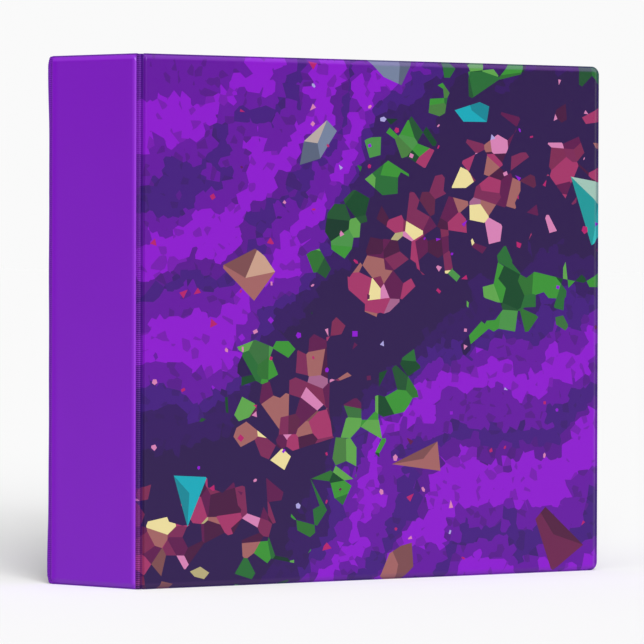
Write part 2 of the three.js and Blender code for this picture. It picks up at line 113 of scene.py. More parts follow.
# The hinge strips
RIB_PITCH = 1.1 * MM
RIB_HEIGHT = 0.26 * MM
RIBS_END_SHARE = 0.62  # of the strip's width, where its groove starts
GROOVE_END_SHARE = 0.97
RIB_FADE = 0.06
GROOVE_FADE = 0.04
STRIP_GROOVE_DEPTH = 0.3 * MM
STRIP_HALF = 0.54 * MM
STRIP_END_RADIUS = 0.5 * MM
STRIP_OVERLAP = 0.3 * MM  # over the cover's rim
FLAT_BEND = (0.5 * MM, 0.5 * MM)  # how far its middle control points lie beyond the spine's side, and
FULL_BEND = (2.4 * MM, 0.1 * MM)  # along the cover, where it bows out least and fully
FRONT_FULLNESS = 0.8
BACK_FULLNESS = 1.25
INNER_FACE_SHIFT = 4.0  # in hinge widths: the inner face's places start here

# The pockets
POCKET_MARGIN = 9 * MM  # from the cover's lower edge and its fore edge
POCKET_HEIGHT = 176 * MM
FRONT_POCKET_START = 14 * MM
BACK_POCKET_START = 78 * MM
POCKET_BORDER = 5 * MM
THUMB_HALF = 37 * MM
THUMB_DEPTH = 16 * MM
THUMB_REACH = 60 * MM  # the height above which the points make room for the thumb's cut
POCKET_GAP = 0.12 * MM
POCKET_SHEET = 0.22 * MM
POCKET_WELD = 2.2 * MM
POCKET_RISE_RUN = 4 * MM
POCKET_SWELL = 0.5 * MM
LIP_SWELL = 0.45 * MM
LIP_START_SHARE = 0.6
POCKET_RIPPLE = 0.1 * MM
POCKET_RIPPLE_LENGTH = 70 * MM
WELD_MARK_HEIGHT = 0.024 * MM
WELD_MARK_PITCH = 1.4 * MM
WELD_MARK_MIDDLE = 1.3 * MM
WELD_MARK_HALF = 0.9 * MM

# The ring mechanism's middle on the back cover, and its rings
HOUSING_FROM_HINGE = 48 * MM
RING_PITCH = 107.95 * MM
RING_FOOT = 7.5 * MM
RING_TOP = 46.5 * MM
WIRE_RADIUS = 1.6 * MM
LEG_BEND_RADIUS = 9.5 * MM
FOOT_HEIGHT = 2.2 * MM
NECK_HEIGHT = 7.8 * MM
NECK_RADIUS = 5 * MM
NECK_TURN = math.radians(75)
TIP_GAP = 0.3 * MM
PEG_RADIUS = 0.75 * MM
PEG_LENGTH = 1.3 * MM
TIP_CHAMFER = 0.12 * MM
SOCKET_CLEARANCE = 0.35 * MM
SOCKET_DEPTH = 1.6 * MM
WIRE_SIDES = 28
ARC_STEP = math.radians(4)

# Colours, as sRGB codes
SPINE_PURPLE = "7B20BB"
LINER_PURPLE = "6A1FA8"
BRIGHT_VIOLET = "8A22C8"
MID_PURPLE = "651E9C"
INDIGO = "47257C"
DARK_PLUM = "342450"
NEAR_BLACK = "1E1630"
BANDS = (  # how far from the print's river each colour starts, in metres
    (0.0, DARK_PLUM), (0.054, "3A2360"), (0.076, INDIGO), (0.090, MID_PURPLE), (0.104, BRIGHT_VIOLET),
    (0.122, MID_PURPLE), (0.136, INDIGO), (0.148, "5A1F8C"), (0.158, BRIGHT_VIOLET), (0.184, MID_PURPLE),
    (0.200, INDIGO), (0.214, MID_PURPLE), (0.226, BRIGHT_VIOLET), (0.246, MID_PURPLE))
BAND_REACH = 0.26
# The colour of the painted shade in the ribs' valleys, the strip's groove and along the recessed rims
PAINTED_SHADE = "2A0560"
PAINTED_HIGHLIGHT = "B45CE8"  # the painted highlight's colour, which the vinyl pales to over a board's edge and on the ribs
SHEEN = 0.014  # what the surface's reflection adds to every colour
VALLEY_SHADE = 0.60  # how far the vinyl turns to the painted shade between the ribs, in the strip's groove and on the rims
GROOVE_SHADE = 0.45  # on the rims
RIM_SHADE = 0.42
CREST_HIGHLIGHT = 0.20  # how far the painted highlight pales it on the ribs, and over the boards' edges in the print, on plain vinyl and at the spine's sides
PRINT_HIGHLIGHT = 0.11  # and at the spine's sides
PLAIN_HIGHLIGHT = 0.20
SIDE_HIGHLIGHT = 0.10
SIDE_LINE_HIGHLIGHT = 0.30
LOWER_HIGHLIGHT_SHARE = 0.3  # the painted highlight along the lower edges is weaker, as they face down, away from the light above
HIGHLIGHT_REACH, HIGHLIGHT_FADE = 3.6 * MM, 1.0 * MM
SIDE_REACH, SIDE_FADE = 3.2 * MM, 1.5 * MM
SIDE_LINE = 1.25 * MM
RIM_SHADE_MARGIN = 0.15 * MM
FORE_SHADE_MARGIN = 0.1 * MM
GRAIN_DEPTH = 0.2 * MM
MARKS_DEPTH = 0.1 * MM
DULL_RUN = 6 * MM  # over which the spine's shine comes up from its far side

# Light: each is the radiance that it gives a white surface which faces it
PALE = 0.955
SKY_LIGHT = 0.235
SUNS = (  # name, light, heading and height of its rays, and its spread
    ("key", 0.84, math.radians(-48), math.radians(28), math.radians(34)),
    ("top", 0.36, math.radians(-36), math.radians(72), math.radians(56)),
)
FILLS = (  # the same for two more, which light the object from behind and leave the floor alone
    ("left_fill", 0.34, math.radians(150), math.radians(30), math.radians(70)),
    ("right_fill", 0.30, math.radians(216), math.radians(35), math.radians(70)),
)
FLOOR_REACH = 30.0
FLOOR_BOUNCE = 0.75  # the floor's albedo to all but the camera's rays
SPINE_LIGHT = 1.035  # what all of it gives a white spine, the floor's reflection included
COVER_LIGHT = 1.235


def linear(code, alpha=1.0):
    """The linear colour of an sRGB code."""
    srgb = [int(code[i:i + 2], 16) / 255 for i in (0, 2, 4)]
    return tuple(c / 12.92 if c <= 0.04045 else ((c + 0.055) / 1.055) ** 2.4 for c in srgb) + (alpha,)


def ink(code, light=COVER_LIGHT):
    """The surface colour that looks like an sRGB code under a light, without the sheen over it."""
    return tuple(max(c - SHEEN, 0.001) / light for c in linear(code)[:3]) + (1.0,)


class Panel:
    """A panel's own frame: u runs from its hinge, w out of its outer face, and z up."""

    def __init__(self, origin, direction, outward):
        self.origin = np.array(origin, float)
        self.along = np.array([*direction, 0.0])
        self.out = np.array([*outward, 0.0])

    def place(self, u, w, z):
        """Origin plus u along the panel, w out of it and z up, for whole arrays."""
        u, w, z = np.broadcast_arrays(u, w, z)
        up = np.array([0.0, 0.0, 1.0])
        return self.origin + u[..., None] * self.along + w[..., None] * self.out + z[..., None] * up


front_pivot = joints["front_cover_hinge"]["pos_m"][:2] + [0.0]
back_pivot = joints["back_cover_hinge"]["pos_m"][:2] + [0.0]
spine_middle = [(front_pivot[0] + back_pivot[0]) / 2, front_pivot[1], 0.0]
spine_panel = Panel(spine_middle, (1, 0), (0, -1))
front_panel = Panel(front_pivot, (math.sin(FRONT_SWING), math.cos(FRONT_SWING)),
                    (math.cos(FRONT_SWING), -math.sin(FRONT_SWING)))
back_panel = Panel(back_pivot, (-math.sin(BACK_SWING), math.cos(BACK_SWING)),
                   (-math.cos(BACK_SWING), -math.sin(BACK_SWING)))


# Meshes

def new_piece(name, points, faces, uv=None, smooth=True):
    """A mesh object from arrays of points and quads, with an optional UV for each point."""
    mesh = bpy.data.meshes.new(name)
    mesh.from_pydata(points.reshape(-1, 3), [], faces)
    mesh.polygons.foreach_set("use_smooth", [smooth] * len(mesh.polygons))
    if uv is not None:
        corners = np.empty(len(mesh.loops), np.int64)
        mesh.loops.foreach_get("vertex_index", corners)
        layer = mesh.uv_layers.new(name="surface")
        layer.data.foreach_set("uv", uv.reshape(-1, 2)[corners].ravel().astype(np.float32))
    piece = bpy.data.objects.new(name, mesh)
    bpy.context.scene.collection.objects.link(piece)
    return piece


def grid_faces(rows, columns, first=0, around=False, flip=False):
    """Quads between neighbours of a rows by columns grid whose first point has the index first. Where it goes
    around, its last column joins its first."""
    i = np.arange(rows - 1)[:, None] * columns
    j = np.arange(columns if around else columns - 1)[None, :]
    after = (j + 1) % columns
    quads = np.stack([i + j, i + columns + j, i + columns + after, i + after], -1) + first
    quads = quads.reshape(-1, 4)
    return quads[:, ::-1] if flip else quads


def orient(piece):
    """Merges doubled points and turns every face outwards."""
    work = bmesh.new()
    work.from_mesh(piece.data)
    bmesh.ops.remove_doubles(work, verts=work.verts, dist=1e-7)
    bmesh.ops.recalc_face_normals(work, faces=work.faces)
    work.to_mesh(piece.data)
    work.free()
    return piece


def smooth_by_angle(piece, degrees):
    """Marks edges sharper than an angle as sharp, and smooths the rest."""
    piece.data.polygons.foreach_set("use_smooth", [True] * len(piece.data.polygons))
    piece.data.set_sharp_from_angle(angle=math.radians(degrees))
    return piece


EDGE_STEPS = MM * np.array([
    0, 0.06, 0.15, 0.3, 0.42, 0.5, 0.54, 0.6, 0.68, 0.74, 0.8, 0.88, 1.0, 1.18, 1.4, 1.5, 1.55, 1.62, 1.72,
    1.88, 2.1, 2.4, 2.75, 3.15, 3.6, 4.1, 4.7, 5.5])


def edge_spaced(length, inner_step):
    """Places from 0 to length: close together near both ends, where the skin is shaped, and even between."""
    last = EDGE_STEPS[-1]
    count = max(2, int(round((length - 2 * last) / inner_step)))
    middle = np.linspace(last, length - last, count + 1)[1:-1]
    return np.concatenate([EDGE_STEPS, middle, (length - EDGE_STEPS)[::-1]])


def round_corners(u, z, width, height, hinge_radius, fore_radius):
    """Moves the grid points of each corner's square so that its border becomes an arc: each point keeps its
    direction from the square's inner corner, and its larger offset there becomes its distance."""
    for at_fore in (False, True):
        radius = fore_radius if at_fore else hinge_radius
        for at_top in (False, True):
            cu = width - radius if at_fore else radius
            cz = height - radius if at_top else radius
            du, dz = u - cu, z - cz
            inside = ((du > 0) if at_fore else (du < 0)) & ((dz > 0) if at_top else (dz < 0))
            reach = np.maximum(np.abs(du), np.abs(dz))
            length = np.maximum(np.hypot(du, dz), 1e-12)
            scale = np.where(inside, reach / length, 1.0)
            u, z = cu + du * scale, cz + dz * scale
    return u, z


def border_distance(u, z, width, height, hinge_radius, fore_radius):
    """The distance of each point from the rounded outline."""
    distance = np.minimum(np.minimum(u, width - u), np.minimum(z, height - z))
    for at_fore in (False, True):
        radius = fore_radius if at_fore else hinge_radius
        for at_top in (False, True):
            cu = width - radius if at_fore else radius
            cz = height - radius if at_top else radius
            du, dz = u - cu, z - cz
            inside = ((du > 0) if at_fore else (du < 0)) & ((dz > 0) if at_top else (dz < 0))
            distance = np.where(inside, radius - np.hypot(du, dz), distance)
    return np.maximum(distance, 0)


def ripple(u, z, size, seed):
    """Slow sine waves in several directions, whose sum lies between about -1 and 1: the vinyl's waviness."""
    random = np.random.default_rng(seed)
    total = np.zeros_like(u)
    for _ in range(7):
        angle, phase = random.uniform(0, 2 * math.pi, 2)
        length = size * random.uniform(0.6, 1.6)
        total += np.sin(2 * math.pi * (u * math.cos(angle) + z * math.sin(angle)) / length + phase)
    return total / 4


def raised_distance(u, z, width, rims, radius, steep):
    """The distance inside the raised form's outline, whose sides lie one rim in from the panel's, with corners
    of their own radius. It is negative over the rim and grows steep times as fast from the hinge."""
    hinge_rim, fore_rim, end_rim = rims
    half_u = (width - hinge_rim - fore_rim) / 2 - radius
    half_z = HEIGHT / 2 - end_rim - radius
    from_middle = u - (width + hinge_rim - fore_rim) / 2
    du = np.abs(from_middle) - half_u
    du = np.where(from_middle < 0, radius - steep * (radius - du), du)
    dz = np.abs(z - HEIGHT / 2) - half_z
    outside = np.hypot(np.maximum(du, 0), np.maximum(dz, 0)) + np.minimum(np.maximum(du, dz), 0)
    return radius - outside


def closed_shell(name, outer, inner, uv):
    """A piece from two grids of points: both faces, and a wall between their borders."""
    rows, columns = outer.shape[:2]
    count = rows * columns
    border = np.concatenate([np.arange(columns), np.arange(1, rows) * columns + columns - 1,
                             (rows - 1) * columns + np.arange(columns - 2, -1, -1),
                             np.arange(rows - 2, 0, -1) * columns])
    after = np.roll(border, -1)
    wall = np.stack([border, after, after + count, border + count], -1)
    faces = [grid_faces(rows, columns), grid_faces(rows, columns, first=count, flip=True), wall]
    points = np.concatenate([outer.reshape(-1, 3), inner.reshape(-1, 3)])
    uv = uv.reshape(-1, 2)
    piece = new_piece(name, points, np.concatenate(faces), np.concatenate([uv, uv]))
    return smooth_by_angle(orient(piece), 50)


def skin_height(edge_distance, inside, welded, power=SHOULDER_POWER, rounded=0.0):
    """The outer face's height: a rim with a rounded edge, a pressed groove where the board starts along the
    welded sides, and the shoulder over the board's edge, which is a power of the rest of the way up to the
    face, or a quarter ellipse where rounded is 1."""
    edge = np.sqrt(np.clip(1 - (1 - np.clip(edge_distance / RIM_EDGE_RADIUS, 0, 1)) ** 2, 0, 1))
    low = RIM_HALF * (RIM_EDGE_SHARE + (1 - RIM_EDGE_SHARE) * edge)
    groove = WELD_GROOVE_DEPTH * welded * np.exp(-(inside / WELD_GROOVE_REACH) ** 2)
    t = np.clip(inside / SHOULDER_WIDTH, 0, 1)
    bevel = 1 - (1 - t) ** power
    ellipse = np.sqrt(1 - (1 - t) ** 2)
    return low - groove + (HALF_THICKNESS - RIM_HALF) * (bevel + rounded * (ellipse - bevel))


def skin(name, panel, start, width, radii, side, rims, seed,
         steep=1.0, power=SHOULDER_POWER, round_sides=0.0):
    """One welded sheet over a board as a closed shell. Its outer face is skin_height of the distance from
    the outline plus a slight ripple, and its inner face lies one thickness below it, but no nearer than the
    board. Where round_sides is 1 its two long sides have an elliptical shoulder."""
    u, z = np.meshgrid(edge_spaced(width, SKIN_STEP), edge_spaced(HEIGHT, SKIN_STEP), indexing="ij")
    u, z = round_corners(u, z, width, HEIGHT, *radii)
    inside = raised_distance(u, z, width, rims, RAISED_RADIUS, steep)
    narrow_hinge_rim = (u < UNWELDED_REACH) & (rims[0] < RIM_WIDTH)
    narrow_fore_rim = (u > width - UNWELDED_REACH) & (rims[1] < RIM_WIDTH)
    welded = np.where(narrow_hinge_rim | narrow_fore_rim, 0.0, 1.0)
    nearer_side = np.minimum(z, HEIGHT - z) - np.minimum(u, width - u)
    rounded = round_sides * np.clip(0.5 + nearer_side / SIDE_BLEND, 0, 1)
    edge_distance = border_distance(u, z, width, HEIGHT, *radii)
    height = skin_height(edge_distance, inside, welded, power, rounded)
    swell = np.clip((inside - RIPPLE_START) / RIPPLE_RUN, 0, 1)
    height = height + RIPPLE_HEIGHT * ripple(u, z, RIPPLE_LENGTH, seed) * swell
    inner = np.clip(height - SKIN_THICKNESS, WELD_GAP, BOARD_ROOM)
    faces = [panel.place(start + u, side * level, z) for level in (height, inner)]
    return closed_shell(name, *faces, np.stack([start + u, z], -1))


def board(name, panel, start, width, rims, steep=1.0, power=SHOULDER_POWER):
    """The chipboard between two skins: as thick as they leave room for, its edges crushed to a bevel."""
    first_u, first_z = rims[0] + BOARD_INSET, rims[2] + BOARD_INSET
    across = first_u + edge_spaced(width - first_u - rims[1] - BOARD_INSET, BOARD_STEP)
    up = first_z + edge_spaced(HEIGHT - 2 * first_z, BOARD_STEP)
    u, z = np.meshgrid(across, up, indexing="ij")
    inside = np.maximum(raised_distance(u, z, width, rims, RAISED_RADIUS, steep), CRUSHED_EDGE)
    inner = skin_height(np.full_like(u, MM), inside, 0.0, power) - SKIN_THICKNESS
    half = np.clip(inner - WELD_GAP, WELD_GAP, BOARD_HALF)
    faces = [panel.place(start + u, level, z) for level in (half, -half)]
    return closed_shell(name, *faces, np.stack([start + u, z], -1))


def bezier(points, t):
    """A cubic curve through its four control points in the plane."""
    a, b, c, d = (np.array(p, float) for p in points)
    t = t[:, None]
    return a * (1 - t) ** 3 + 3 * b * t * (1 - t) ** 2 + 3 * c * t ** 2 * (1 - t) + d * t ** 3


def hinge_web(name, panel, side, fullness):
    """The welded strip between spine and cover. Its middle line in plan is a cubic curve from the spine's rim
    to the cover's, which bows out by its fullness at each height, its half-thickness thins to a groove beside
    the cover, and across its outer face run ribs whose height is a raised cosine of z."""
    t = np.linspace(0, 1, 21)
    z = np.arange(HINGE_TRIM, HEIGHT - HINGE_TRIM + 1e-9, RIB_PITCH / 6)
    along, hinge, middle = panel.along[:2], panel.origin[:2], spine_panel.origin[:2]
    begin = middle + np.array([side * (SPINE_HALF - SPINE_SIDE_RIM), 0])
    end = hinge + along * (HINGE_WIDTH + STRIP_OVERLAP)
    lines = []
    for knuckle, lead in (FLAT_BEND, FULL_BEND):
        corner = middle + np.array([side * (SPINE_HALF + knuckle), 0])
        lines.append(bezier([begin, corner, hinge + along * lead, end], t)[None])
    share = fullness(z)[:, None, None]
    line = lines[0] * (1 - share) + lines[1] * share
    tangent = np.gradient(line, axis=1)
    tangent /= np.linalg.norm(tangent, axis=2)[..., None]
    normal = np.stack([tangent[..., 1], -tangent[..., 0]], -1) * side
    groove = np.clip((t - RIBS_END_SHARE) / RIB_FADE, 0, 1)
    groove *= np.clip((GROOVE_END_SHARE - t) / GROOVE_FADE, 0, 1)
    ribbed = np.clip((RIBS_END_SHARE - t) / RIB_FADE, 0, 1)
    half = STRIP_HALF - STRIP_GROOVE_DEPTH * groove
    ribs = RIB_HEIGHT * ribbed[None, :] * (0.5 + 0.5 * np.cos(2 * math.pi * z / RIB_PITCH)[:, None])
    rounding = np.clip(np.minimum(z - z[0], z[-1] - z) / STRIP_END_RADIUS, 0, 1)
    thickness = half[None, :] * (0.5 + 0.5 * np.sqrt(rounding))[:, None]
    outer = line + normal * (thickness + ribs)[..., None]
    inner = line - normal * thickness[..., None]
    section = np.concatenate([outer, inner[:, ::-1]], 1)
    rows, columns = section.shape[:2]
    heights = np.broadcast_to(z[:, None], (rows, columns))
    k = np.arange(len(t) - 1)
    cap = np.stack([k, k + 1, columns - 2 - k, columns - 1 - k], -1)
    faces = np.concatenate([grid_faces(rows, columns, around=True), cap, cap + (rows - 1) * columns])
    # The print goes on over the outer face. The inner face's places lie beyond it, for the liner's colour.
    run = np.concatenate([t, t[::-1] + INNER_FACE_SHIFT]) * HINGE_WIDTH
    uv = np.stack([np.broadcast_to(run, (rows, columns)), heights], -1)
    points = np.concatenate([section, heights[..., None]], -1)
    return smooth_by_angle(orient(new_piece(name, points, faces, uv)), 60)


def pocket(name, panel, start):
    """A sheet welded to the liner along three sides. Its height over the liner is a low swell that ends in
    the weld, its upper border dips in a half ellipse for a thumb, and it is one thin closed shell."""
    width = COVER_WIDTH - POCKET_MARGIN - start
    border = np.linspace(0, POCKET_BORDER, 11)
    across = np.linspace(POCKET_BORDER, width - POCKET_BORDER, 60)[1:-1]
    up = np.linspace(POCKET_BORDER, POCKET_HEIGHT, 46)[1:]
    u, v = np.meshgrid(np.concatenate([border, across, (width - border)[::-1]]), np.concatenate([border, up]),
                       indexing="ij")
    dip = THUMB_DEPTH * np.sqrt(np.clip(1 - ((u - width / 2) / THUMB_HALF) ** 2, 0, 1))
    squeeze = (POCKET_HEIGHT - dip - THUMB_REACH) / (POCKET_HEIGHT - THUMB_REACH)
    v = np.where(v > THUMB_REACH, THUMB_REACH + (v - THUMB_REACH) * squeeze, v)
    side = np.minimum(np.minimum(u, width - u), v)
    rise = np.clip((side - POCKET_WELD) / POCKET_RISE_RUN, 0, 1)
    rise = rise * rise * (3 - 2 * rise)
    lip = np.clip((v / POCKET_HEIGHT - LIP_START_SHARE) / (1 - LIP_START_SHARE), 0, 1) ** 2
    swell = POCKET_SWELL + LIP_SWELL * lip + POCKET_RIPPLE * ripple(u, v, POCKET_RIPPLE_LENGTH, 5)
    inner = POCKET_GAP + rise * swell
    in_weld = np.clip(1 - np.abs(side - WELD_MARK_MIDDLE) / WELD_MARK_HALF, 0, 1)
    marks = WELD_MARK_HEIGHT * in_weld * np.cos(2 * math.pi * (u + v) / WELD_MARK_PITCH)
    outer = inner + POCKET_SHEET + marks
    base = -(HALF_THICKNESS + POCKET_GAP)
    z = POCKET_MARGIN + v
    faces = [panel.place(start + u, base - level, z) for level in (outer, inner)]
    return closed_shell(name, *faces, np.stack([start + u, z], -1))


# The mechanism's frame: x away from the spine along the back liner, y into the binder, z along world -Z.
mechanism_origin = back_panel.place(HOUSING_FROM_HINGE, -HALF_THICKNESS, HEIGHT / 2)


def in_mechanism(x, y, z):
    """Points given in the mechanism's frame, in the row's frame."""
    x, y, z = np.broadcast_arrays(x, y, z)
    down = np.array([0.0, 0.0, -1.0])
    return (mechanism_origin + x[..., None] * back_panel.along - y[..., None] * back_panel.out
            + z[..., None] * down)


def arc(centre, radius, begin, end):
    """Points on a circle in the plane from one angle to another, the first one left out."""
    angle = np.linspace(begin, end, max(3, int(abs(end - begin) / ARC_STEP)))[1:]
    return np.stack([centre[0] + radius * np.cos(angle), centre[1] + radius * np.sin(angle)], -1)


def wire(name, line, station, tip_profile):
    """A round wire along a flat line: circles across the line, with extra ones at the tip whose offset along
    the line and radius tip_profile gives, and closed at both ends by shrinking to a point."""
    tangent = np.gradient(line, axis=0)
    tangent /= np.linalg.norm(tangent, axis=1)[:, None]
    offset = np.array([p[0] for p in tip_profile])
    radius = np.concatenate([[0.0], np.full(len(line), WIRE_RADIUS), [p[1] for p in tip_profile]])
    line = np.concatenate([line[:1], line, line[-1] + tangent[-1] * offset[:, None]])
    tangent = np.concatenate([tangent[:1], tangent, np.repeat(tangent[-1:], len(offset), 0)])
    normal = np.stack([tangent[:, 1], -tangent[:, 0]], -1)
    around = np.linspace(0, 2 * math.pi, WIRE_SIDES, endpoint=False)
    flat = line[:, None] + normal[:, None] * (radius[:, None] * np.cos(around))[..., None]
    z = station + radius[:, None] * np.sin(around)
    points = in_mechanism(flat[..., 0], flat[..., 1], z)
    faces = grid_faces(*points.shape[:2], around=True)
    return smooth_by_angle(orient(new_piece(name, points, faces)), 40)


tip_x = RING_FOOT - LEG_BEND_RADIUS


def straight_half(name, station):
    """The straight leg, its bend over the top and the peg at its tip."""
    line = np.concatenate([
        [[RING_FOOT, FOOT_HEIGHT], [RING_FOOT, 12 * MM], [RING_FOOT, RING_TOP - LEG_BEND_RADIUS]],
        arc((tip_x, RING_TOP - LEG_BEND_RADIUS), LEG_BEND_RADIUS, 0, math.pi / 2)])
    peg = [(0, WIRE_RADIUS - TIP_CHAMFER), (0.02 * MM, PEG_RADIUS + 0.2 * MM), (0.05 * MM, PEG_RADIUS),
           (PEG_LENGTH - 0.5 * MM, PEG_RADIUS), (PEG_LENGTH - 0.15 * MM, 0.75 * PEG_RADIUS),
           (PEG_LENGTH, 0.4 * PEG_RADIUS), (PEG_LENGTH, 0.0)]
    return wire(name, line, station, peg)


def bowed_half(name, station):
    """The neck that turns outwards, the round bow and the socket at its tip."""
    neck_x = -RING_FOOT - NECK_RADIUS
    start = (neck_x + NECK_RADIUS * math.cos(NECK_TURN), NECK_HEIGHT + NECK_RADIUS * math.sin(NECK_TURN))
    bow = (RING_TOP - start[1]) / (1 + math.sin(NECK_TURN))
    centre = (start[0] + bow * math.cos(NECK_TURN), RING_TOP - bow)
    line = np.concatenate([
        [[-RING_FOOT, FOOT_HEIGHT], [-RING_FOOT, NECK_HEIGHT - 2 * MM], [-RING_FOOT, NECK_HEIGHT]],
        arc((neck_x, NECK_HEIGHT), NECK_RADIUS, 0, NECK_TURN),
        arc(centre, bow, math.pi + NECK_TURN, math.pi / 2),
        [[tip_x - TIP_GAP - 1 * MM, RING_TOP], [tip_x - TIP_GAP, RING_TOP]]])
    hole = PEG_RADIUS + SOCKET_CLEARANCE
    socket = [(0, WIRE_RADIUS - TIP_CHAMFER), (0.0, hole + 0.05 * MM), (-0.05 * MM, hole),
              (-SOCKET_DEPTH, hole), (-SOCKET_DEPTH, 0.0)]
    return wire(name, line, station, socket)


def refined(node, angle, bevel=0.0):
    """A copy of a rigid node's mesh with its points merged, its flat runs joined, its curved faces smoothed
    and its sharp edges rounded by a narrow bevel."""
    source = nodes[node]
    piece = bpy.data.objects.new(node + "_finished", source.data.copy())
    bpy.context.scene.collection.objects.link(piece)
    work = bmesh.new()
    work.from_mesh(piece.data)
    bmesh.ops.remove_doubles(work, verts=work.verts, dist=2e-6)
    bmesh.ops.dissolve_limit(work, angle_limit=math.radians(1), verts=work.verts, edges=work.edges)
    work.to_mesh(piece.data)
    work.free()
    smooth_by_angle(piece, angle)
    if bevel:
        rounding = piece.modifiers.new("rounding", "BEVEL")
        rounding.width = bevel
        rounding.segments = 2
        rounding.limit_method = "ANGLE"
        rounding.angle_limit = math.radians(angle)
        rounding.harden_normals = True
    return piece


# Shader groups and materials

VECTOR, FLOAT = "NodeSocketVector", "NodeSocketFloat"


def group(name, inputs, outputs):
    """A new node group with its sockets, and its input and output nodes."""
    made = bpy.data.node_groups.new(name, "ShaderNodeTree")
    for label, kind, value in inputs:
        socket = made.interface.new_socket(label, in_out="INPUT", socket_type=kind)
        if value is not None:
            socket.default_value = value
    for label, kind in outputs:
        made.interface.new_socket(label, in_out="OUTPUT", socket_type=kind)
    return made, made.nodes.new("NodeGroupInput"), made.nodes.new("NodeGroupOutput")


def operation(kind):
    """A method that adds one kind of Math node."""
    return lambda self, a, b=0.0, c=0.0, clamp=False: self.math(kind, a, b, c, clamp)


class Wiring:
    """Short calls for adding and joining shader nodes in one tree."""

    def __init__(self, tree):
        self.tree = tree

    def node(self, kind, **settings):
        made = self.tree.nodes.new(kind)
        for key, value in settings.items():
            setattr(made, key, value)
        return made

    def join(self, source, target):
        self.tree.links.new(source, target)

    def feed(self, socket, value):
        """Sets a socket to a plain value, or joins it to another socket."""
        if isinstance(value, bpy.types.NodeSocket):
            self.join(value, socket)
        else:
            socket.default_value = value

    def math(self, operation, a, b=0.0, c=0.0, clamp=False):
        made = self.node("ShaderNodeMath", operation=operation, use_clamp=clamp)
        for socket, value in zip(made.inputs, (a, b, c)):
            self.feed(socket, value)
        return made.outputs[0]

    times, plus, minus, over = map(operation, ("MULTIPLY", "ADD", "SUBTRACT", "DIVIDE"))
    less, more, least, most = map(operation, ("LESS_THAN", "GREATER_THAN", "MINIMUM", "MAXIMUM"))
    fit, part = map(operation, ("MULTIPLY_ADD", "FRACT"))

    def vector(self, operation, a, b=(0, 0, 0), scale=1.0):
        made = self.node("ShaderNodeVectorMath", operation=operation)
        self.feed(made.inputs[0], a)
        self.feed(made.inputs[1], b)
        if operation == "SCALE":
            self.feed(made.inputs["Scale"], scale)
        return made.outputs["Value" if operation == "LENGTH" else "Vector"]

    def noise(self, vector, scale, detail=2.0, roughness=0.5, dimensions="2D"):
        made = self.node("ShaderNodeTexNoise", noise_dimensions=dimensions)
        self.feed(made.inputs["Vector"], vector)
        self.feed(made.inputs["Scale"], scale)
        self.feed(made.inputs["Detail"], detail)
        self.feed(made.inputs["Roughness"], roughness)
        return made

    def cells(self, vector, scale, randomness=1.0, feature="F1"):
        made = self.node("ShaderNodeTexVoronoi", voronoi_dimensions="2D", feature=feature)
        self.feed(made.inputs["Vector"], vector)
        self.feed(made.inputs["Scale"], scale)
        self.feed(made.inputs["Randomness"], randomness)
        return made

    def mix(self, factor, a, b):
        made = self.node("ShaderNodeMix", data_type="RGBA")
        self.feed(made.inputs["Factor"], factor)
        self.feed(made.inputs[6], a)
        self.feed(made.inputs[7], b)
        return made.outputs[2]

    def ramp(self, factor, stops, interpolation="CONSTANT"):
        made = self.node("ShaderNodeValToRGB")
        self.feed(made.inputs[0], factor)
        made.color_ramp.interpolation = interpolation
        elements = made.color_ramp.elements
        while len(elements) > 1:
            elements.remove(elements[-1])
        elements[0].position, elements[0].color = stops[0][0], stops[0][1]
        for position, color in stops[1:]:
            elements.new(position).color = color
        return made.outputs[0]

    def split(self, vector):
        made = self.node("ShaderNodeSeparateXYZ")
        self.feed(made.inputs[0], vector)
        return made.outputs

    def merge(self, x, y, z=0.0):
        made = self.node("ShaderNodeCombineXYZ")
        for socket, value in zip(made.inputs, (x, y, z)):
            self.feed(socket, value)
        return made.outputs[0]

    def relief(self, shader, height, strength, depth):
        made = self.node("ShaderNodeBump")
        made.inputs["Strength"].default_value = strength
        made.inputs["Distance"].default_value = depth
        self.join(height, made.inputs["Height"])
        self.join(made.outputs[0], shader.inputs["Normal"])


def darker(color, share):
    """A share of a linear colour."""
    return tuple(share * c for c in color[:3]) + (1.0,)


def leatherette_group():
    """The vinyl's fine pebble and slow waviness, as one height, with a small change of roughness."""
    made, given, out = group("vinyl_grain", [("Vector", VECTOR, None), ("Scale", FLOAT, 1.0)],
                             [("Height", FLOAT), ("Roughness", FLOAT)])
    w = Wiring(made)
    scaled = w.vector("SCALE", given.outputs["Vector"], scale=given.outputs["Scale"])
    pebble = w.cells(scaled, 1700.0, feature="F1").outputs["Distance"]
    slow = w.noise(scaled, 60.0, detail=3).outputs[0]
    height = w.plus(w.times(pebble, 0.35), w.times(slow, 0.8))
    rough = w.fit(w.noise(scaled, 240.0, detail=4).outputs[0], 0.12, 0.27)
    w.join(height, out.inputs["Height"])
    w.join(rough, out.inputs["Roughness"])
    return made


def river_group():
    """The distance from the print's slanting river: from a slow wave about a line that rises to the right."""
    made, given, out = group("river_distance", [("Vector", VECTOR, None)], [("Distance", FLOAT)])
    w = Wiring(made)
    u, z, _ = w.split(given.outputs["Vector"])
    bend = w.times(w.math("SINE", w.fit(u, 23.0, 3.4)), 0.030)
    middle = w.plus(w.fit(u, 0.80, 0.026), bend)
    w.join(w.math("ABSOLUTE", w.minus(z, middle)), out.inputs["Distance"])
    return made


